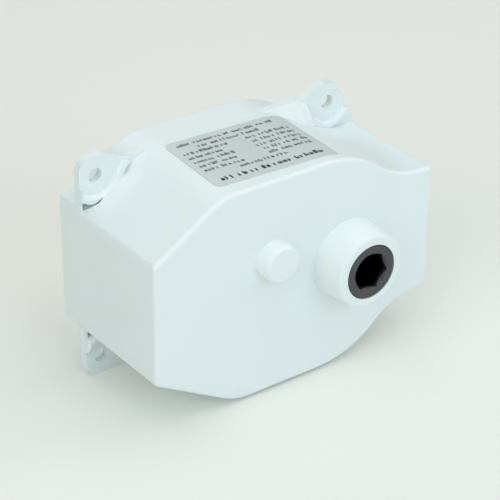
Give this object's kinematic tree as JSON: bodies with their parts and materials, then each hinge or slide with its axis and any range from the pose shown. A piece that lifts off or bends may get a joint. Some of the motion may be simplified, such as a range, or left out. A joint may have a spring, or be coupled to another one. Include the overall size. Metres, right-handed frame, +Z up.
{
  "type": "motorised actuator head",
  "caption": "White motorised actuator head with a black hub with a hexagonal drive socket, a geared synchronous motor, a position sensor, a control board and four mounting ears",
  "frame": {"origin": "middle of the housing's footprint, level with the underside of the lower ears", "axes": "+X to the right seen from the output side, +Y to the rear away from the output, +Z up"},
  "size_m": [0.1086, 0.0646, 0.0791],
  "materials": {
    "white_housing": "fine matte moulded",
    "white_cover": "fine matte moulded",
    "label_foil": "satin foil",
    "black_hub": "slightly glossy moulded",
    "bronze": "sintered",
    "sintered_steel": "dull sintered",
    "ground_steel": "ground",
    "zinc_steel": "zinc plated",
    "acetal": "natural moulded",
    "green_acetal": "moulded",
    "blue_plastic": "moulded",
    "black_plastic": "moulded",
    "copper_coil": "enamelled wire",
    "magnet": "bonded ferrite",
    "rubber_seal": "moulded",
    "board": "solder mask",
    "tinned_brass": "tinned",
    "yellow_capacitor": "moulded box"
  },
  "bodies": {
    "base": {"housing": "white_housing", "output_boss": "white_housing", "axle_boss": "white_housing", "gear_posts": "white_housing", "cover_bosses": "white_housing", "ear_upper_left": "white_housing", "ear_upper_right": "white_housing", "ear_lower_left": "white_housing", "ear_lower_right": "white_housing", "rating_label": "label_foil", "hub_bush": "bronze", "rear_cover": "white_cover", "cover_gasket": "rubber_seal", "cover_screws": "zinc_steel", "gear_plate": "zinc_steel", "gear_plate_screws": "zinc_steel", "plate_bush": "bronze", "third_axle": "ground_steel", "second_axle": "ground_steel", "motor_front_plate": "zinc_steel", "motor_can": "zinc_steel", "front_pole_plate": "zinc_steel", "rear_pole_plate": "zinc_steel", "coil_bobbin": "black_plastic", "coil_winding": "copper_coil", "front_motor_bearing": "bronze", "rear_motor_bearing": "bronze", "motor_screws": "zinc_steel", "sensor_case": "blue_plastic", "sensor_terminals": "tinned_brass", "control_board": "board", "board_standoffs": "tinned_brass", "board_screws": "zinc_steel", "motor_capacitor": "yellow_capacitor", "power_header": "black_plastic", "header_pins": "tinned_brass"},
    "output": {"output_hub": "black_hub", "output_gear": "sintered_steel", "gear_key": "ground_steel", "sensor_drive_gear": "acetal", "hub_retaining_ring": "ground_steel"},
    "third": {"third_gear": "acetal"},
    "second": {"second_gear": "green_acetal"},
    "rotor": {"motor_pinion": "tinned_brass", "rotor_shaft": "ground_steel", "rotor_core": "acetal", "rotor_magnet": "magnet"},
    "sensor": {"sensor_gear": "acetal", "sensor_shaft": "ground_steel"}
  },
  "joints": [
    {"name": "hub_spin", "type": "hinge", "parent": "base", "child": "output", "pos_m": [0.01989, -0.02059, 0.03925], "axis": [0, 1, 0], "continuous": true},
    {"name": "third_spin", "type": "hinge", "parent": "base", "child": "third", "pos_m": [-0.00972, -0.00559, 0.04843], "axis": [0, 1, 0], "continuous": true},
    {"name": "second_spin", "type": "hinge", "parent": "base", "child": "second", "pos_m": [-0.02892, 0.00141, 0.03403], "axis": [0, 1, 0], "continuous": true},
    {"name": "rotor_spin", "type": "hinge", "parent": "base", "child": "rotor", "pos_m": [-0.01145, 0.01741, 0.02893], "axis": [0, 1, 0], "continuous": true},
    {"name": "sensor_spin", "type": "hinge", "parent": "base", "child": "sensor", "pos_m": [0.02388, 0.01441, 0.05803], "axis": [0, 1, 0], "continuous": true}
  ],
  "couplings": [
    {"joint": "third_spin", "follows": "hub_spin", "ratio": -4.1667},
    {"joint": "second_spin", "follows": "hub_spin", "ratio": 16.667},
    {"joint": "rotor_spin", "follows": "hub_spin", "ratio": -55.556},
    {"joint": "sensor_spin", "follows": "hub_spin", "ratio": -1}
  ]
}
